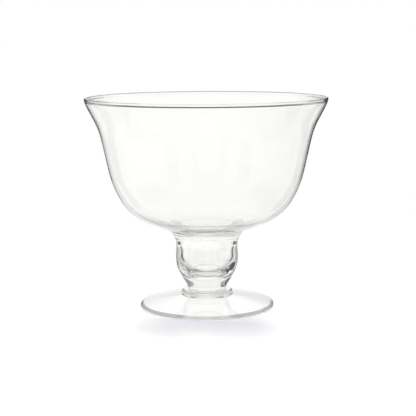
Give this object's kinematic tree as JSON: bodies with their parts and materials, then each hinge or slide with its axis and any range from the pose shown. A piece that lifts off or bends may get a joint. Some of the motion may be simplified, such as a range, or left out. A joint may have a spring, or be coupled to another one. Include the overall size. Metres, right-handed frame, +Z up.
{
  "type": "footed trifle bowl",
  "caption": "Clear glass footed bowl with a flared lip, rounded belly, thick hollow stem, flattened collar and wide round foot, for serving layered desserts.",
  "frame": {"origin": "centre of the foot's resting ring, on the table plane under the middle of the bowl", "axes": "+Z up along the bowl's axis; the shape is round, so X and Y are free, and the picture looks along +Y"},
  "size_m": [0.23, 0.23, 0.2],
  "materials": {
    "clear_glass": "fire-polished, clear with a faint grey-green edge tint"
  },
  "bodies": {
    "root": {"bowl": "clear_glass", "stem": "clear_glass", "merese": "clear_glass", "foot": "clear_glass"}
  },
  "joints": []
}
